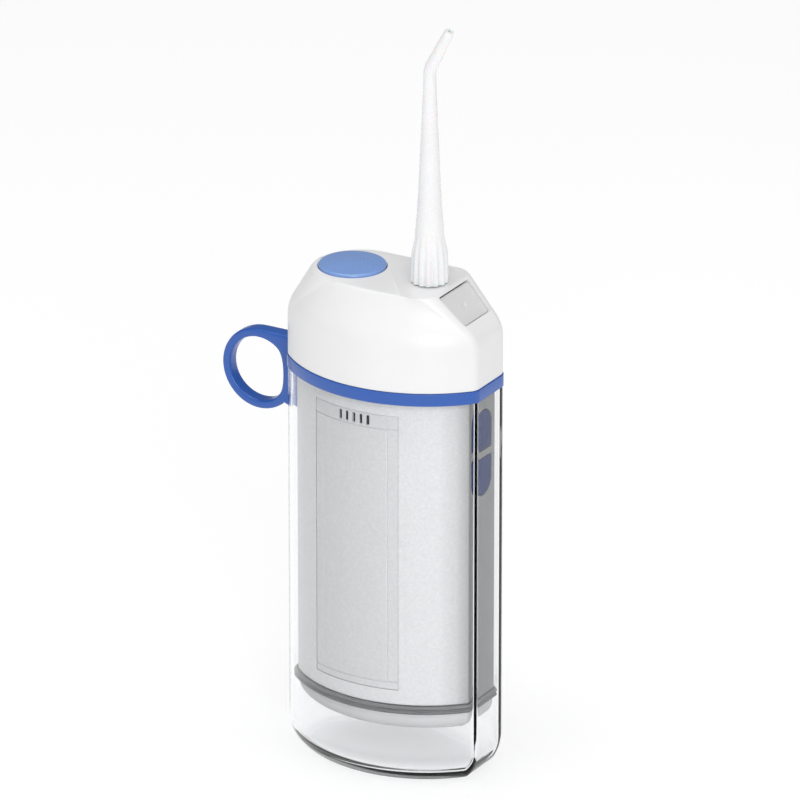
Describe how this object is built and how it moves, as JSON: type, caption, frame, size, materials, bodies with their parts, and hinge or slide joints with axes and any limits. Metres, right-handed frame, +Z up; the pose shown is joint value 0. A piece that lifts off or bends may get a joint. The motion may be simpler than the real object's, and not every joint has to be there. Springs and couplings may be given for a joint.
{
  "type": "water flosser",
  "caption": "Handheld telescoping oral irrigator: drive unit nested in a clear tank, finger loop at the rim, round top button and bent jet nozzle.",
  "frame": {"origin": "centre of the tank's flat base, on the body's axis, as it stands on a surface", "axes": "+Z up along the body and nozzle, +X towards the side buttons and release button (flat button end), -X towards the finger loop, -Y towards the battery cover"},
  "size_m": [0.0808, 0.0433, 0.2084],
  "materials": {
    "clear_tank": "clear, polished",
    "blue_trim": "satin",
    "milky_silicone": "matt silicone",
    "silver_casing": "fine metallic sparkle, satin",
    "grey_casing": "matt",
    "dark_seal": "matt",
    "dark_plastic": "matt",
    "clear_hose": "translucent",
    "cell_wrap": "shrink-wrapped",
    "spring_steel": "plated",
    "inner_plastic": "natural",
    "gear_plastic": "natural acetal",
    "motor_steel": "plated",
    "magnet": "matt",
    "copper_winding": "enamelled",
    "brass": "turned",
    "white_casing": "satin",
    "nozzle_plastic": "milky, glossy",
    "release_plastic": "satin",
    "blue_button": "glossy",
    "dark_blue_button": "satin",
    "circuit_board": "lacquered",
    "lead_wire": "insulated"
  },
  "bodies": {
    "tank": {"tank": "clear_tank", "band_ring": "blue_trim", "finger_loop": "blue_trim"},
    "fill_plug": {"fill_plug": "milky_silicone"},
    "drive_unit": {"drive_shell": "silver_casing", "end_cap": "grey_casing", "seal_ring": "dark_seal", "intake_filter": "dark_plastic", "suction_tube": "clear_hose", "battery_cover": "silver_casing", "battery_tray": "dark_plastic", "battery_cell": "cell_wrap", "contact_spring": "spring_steel", "contact_plate": "spring_steel", "chassis": "inner_plastic", "chassis_screws": "spring_steel", "motor_can": "motor_steel", "motor_endbell": "dark_plastic", "motor_magnets": "magnet", "motor_leads": "lead_wire", "gear_axle": "spring_steel", "pump_cylinder": "inner_plastic", "pump_head": "inner_plastic", "inlet_valve": "dark_seal", "outlet_valve": "dark_seal", "outlet_hose": "clear_hose", "head_shell": "white_casing", "head_gasket": "dark_seal", "top_deck": "inner_plastic", "nozzle_seat": "inner_plastic", "power_spring": "spring_steel", "head_board": "circuit_board", "power_switch": "dark_plastic", "button_pad": "dark_seal", "control_board": "circuit_board", "side_switches": "dark_plastic", "board_screws": "spring_steel"},
    "nozzle_collar": {"nozzle_collar": "inner_plastic"},
    "nozzle": {"nozzle": "nozzle_plastic", "nozzle_oring": "dark_seal"},
    "release_button": {"release_button": "release_plastic"},
    "latch_plate": {"latch_plate": "inner_plastic"},
    "power_button": {"power_button": "blue_button"},
    "upper_button": {"upper_button": "dark_blue_button"},
    "lower_button": {"lower_button": "dark_blue_button"},
    "face_gear": {"face_gear": "gear_plastic"},
    "motor_rotor": {"armature": "copper_winding", "motor_shaft": "spring_steel", "pinion": "brass"},
    "piston": {"piston": "inner_plastic", "piston_seal": "dark_seal", "wrist_pin": "spring_steel"},
    "connecting_rod": {"connecting_rod": "gear_plastic"}
  },
  "joints": [
    {"name": "unit_slide", "type": "slide", "parent": "tank", "child": "drive_unit", "axis": [0, 0, 1], "range_m": [0, 0.086]},
    {"name": "plug_pull", "type": "slide", "parent": "tank", "child": "fill_plug", "axis": [0, 1, 0], "range_m": [0, 0.01]},
    {"name": "nozzle_turn", "type": "hinge", "parent": "drive_unit", "child": "nozzle_collar", "pos_m": [0.0107, 0, 0.1194], "axis": [0, 0, 1], "continuous": true},
    {"name": "nozzle_lift", "type": "slide", "parent": "nozzle_collar", "child": "nozzle", "axis": [0, 0, 1], "range_m": [0, 0.02]},
    {"name": "release_press", "type": "slide", "parent": "drive_unit", "child": "release_button", "axis": [-0.704, 0, -0.7102], "range_m": [0, 0.0012], "stiffness_N_per_m": 1500, "springref_m": -0.0006},
    {"name": "latch_slide", "type": "slide", "parent": "drive_unit", "child": "latch_plate", "axis": [-1, 0, 0], "range_m": [0, 0.00171]},
    {"name": "power_press", "type": "slide", "parent": "drive_unit", "child": "power_button", "axis": [0, 0, -1], "range_m": [0, 0.001], "stiffness_N_per_m": 2000, "springref_m": -0.0005, "deforming": ["power_spring"]},
    {"name": "upper_press", "type": "slide", "parent": "drive_unit", "child": "upper_button", "axis": [-1, 0, 0], "range_m": [0, 0.0008], "stiffness_N_per_m": 2500, "springref_m": -0.0004},
    {"name": "lower_press", "type": "slide", "parent": "drive_unit", "child": "lower_button", "axis": [-1, 0, 0], "range_m": [0, 0.0008], "stiffness_N_per_m": 2500, "springref_m": -0.0004},
    {"name": "gear_spin", "type": "hinge", "parent": "drive_unit", "child": "face_gear", "pos_m": [0, 0.006, 0.075], "axis": [0, 1, 0], "continuous": true},
    {"name": "motor_spin", "type": "hinge", "parent": "drive_unit", "child": "motor_rotor", "pos_m": [0, 0.0094, 0.05], "axis": [0, 0, 1], "continuous": true},
    {"name": "piston_stroke", "type": "slide", "parent": "drive_unit", "child": "piston", "axis": [0, 0, 1], "range_m": [0, 0.005]},
    {"name": "rod_swing", "type": "hinge", "parent": "piston", "child": "connecting_rod", "pos_m": [0, 0.0094, 0.0865], "axis": [0, 1, 0], "range_deg": [-10, 10]}
  ],
  "couplings": [
    {"joint": "latch_slide", "follows": "release_press", "ratio": 1.4205},
    {"joint": "motor_spin", "follows": "gear_spin", "ratio": -4}
  ]
}
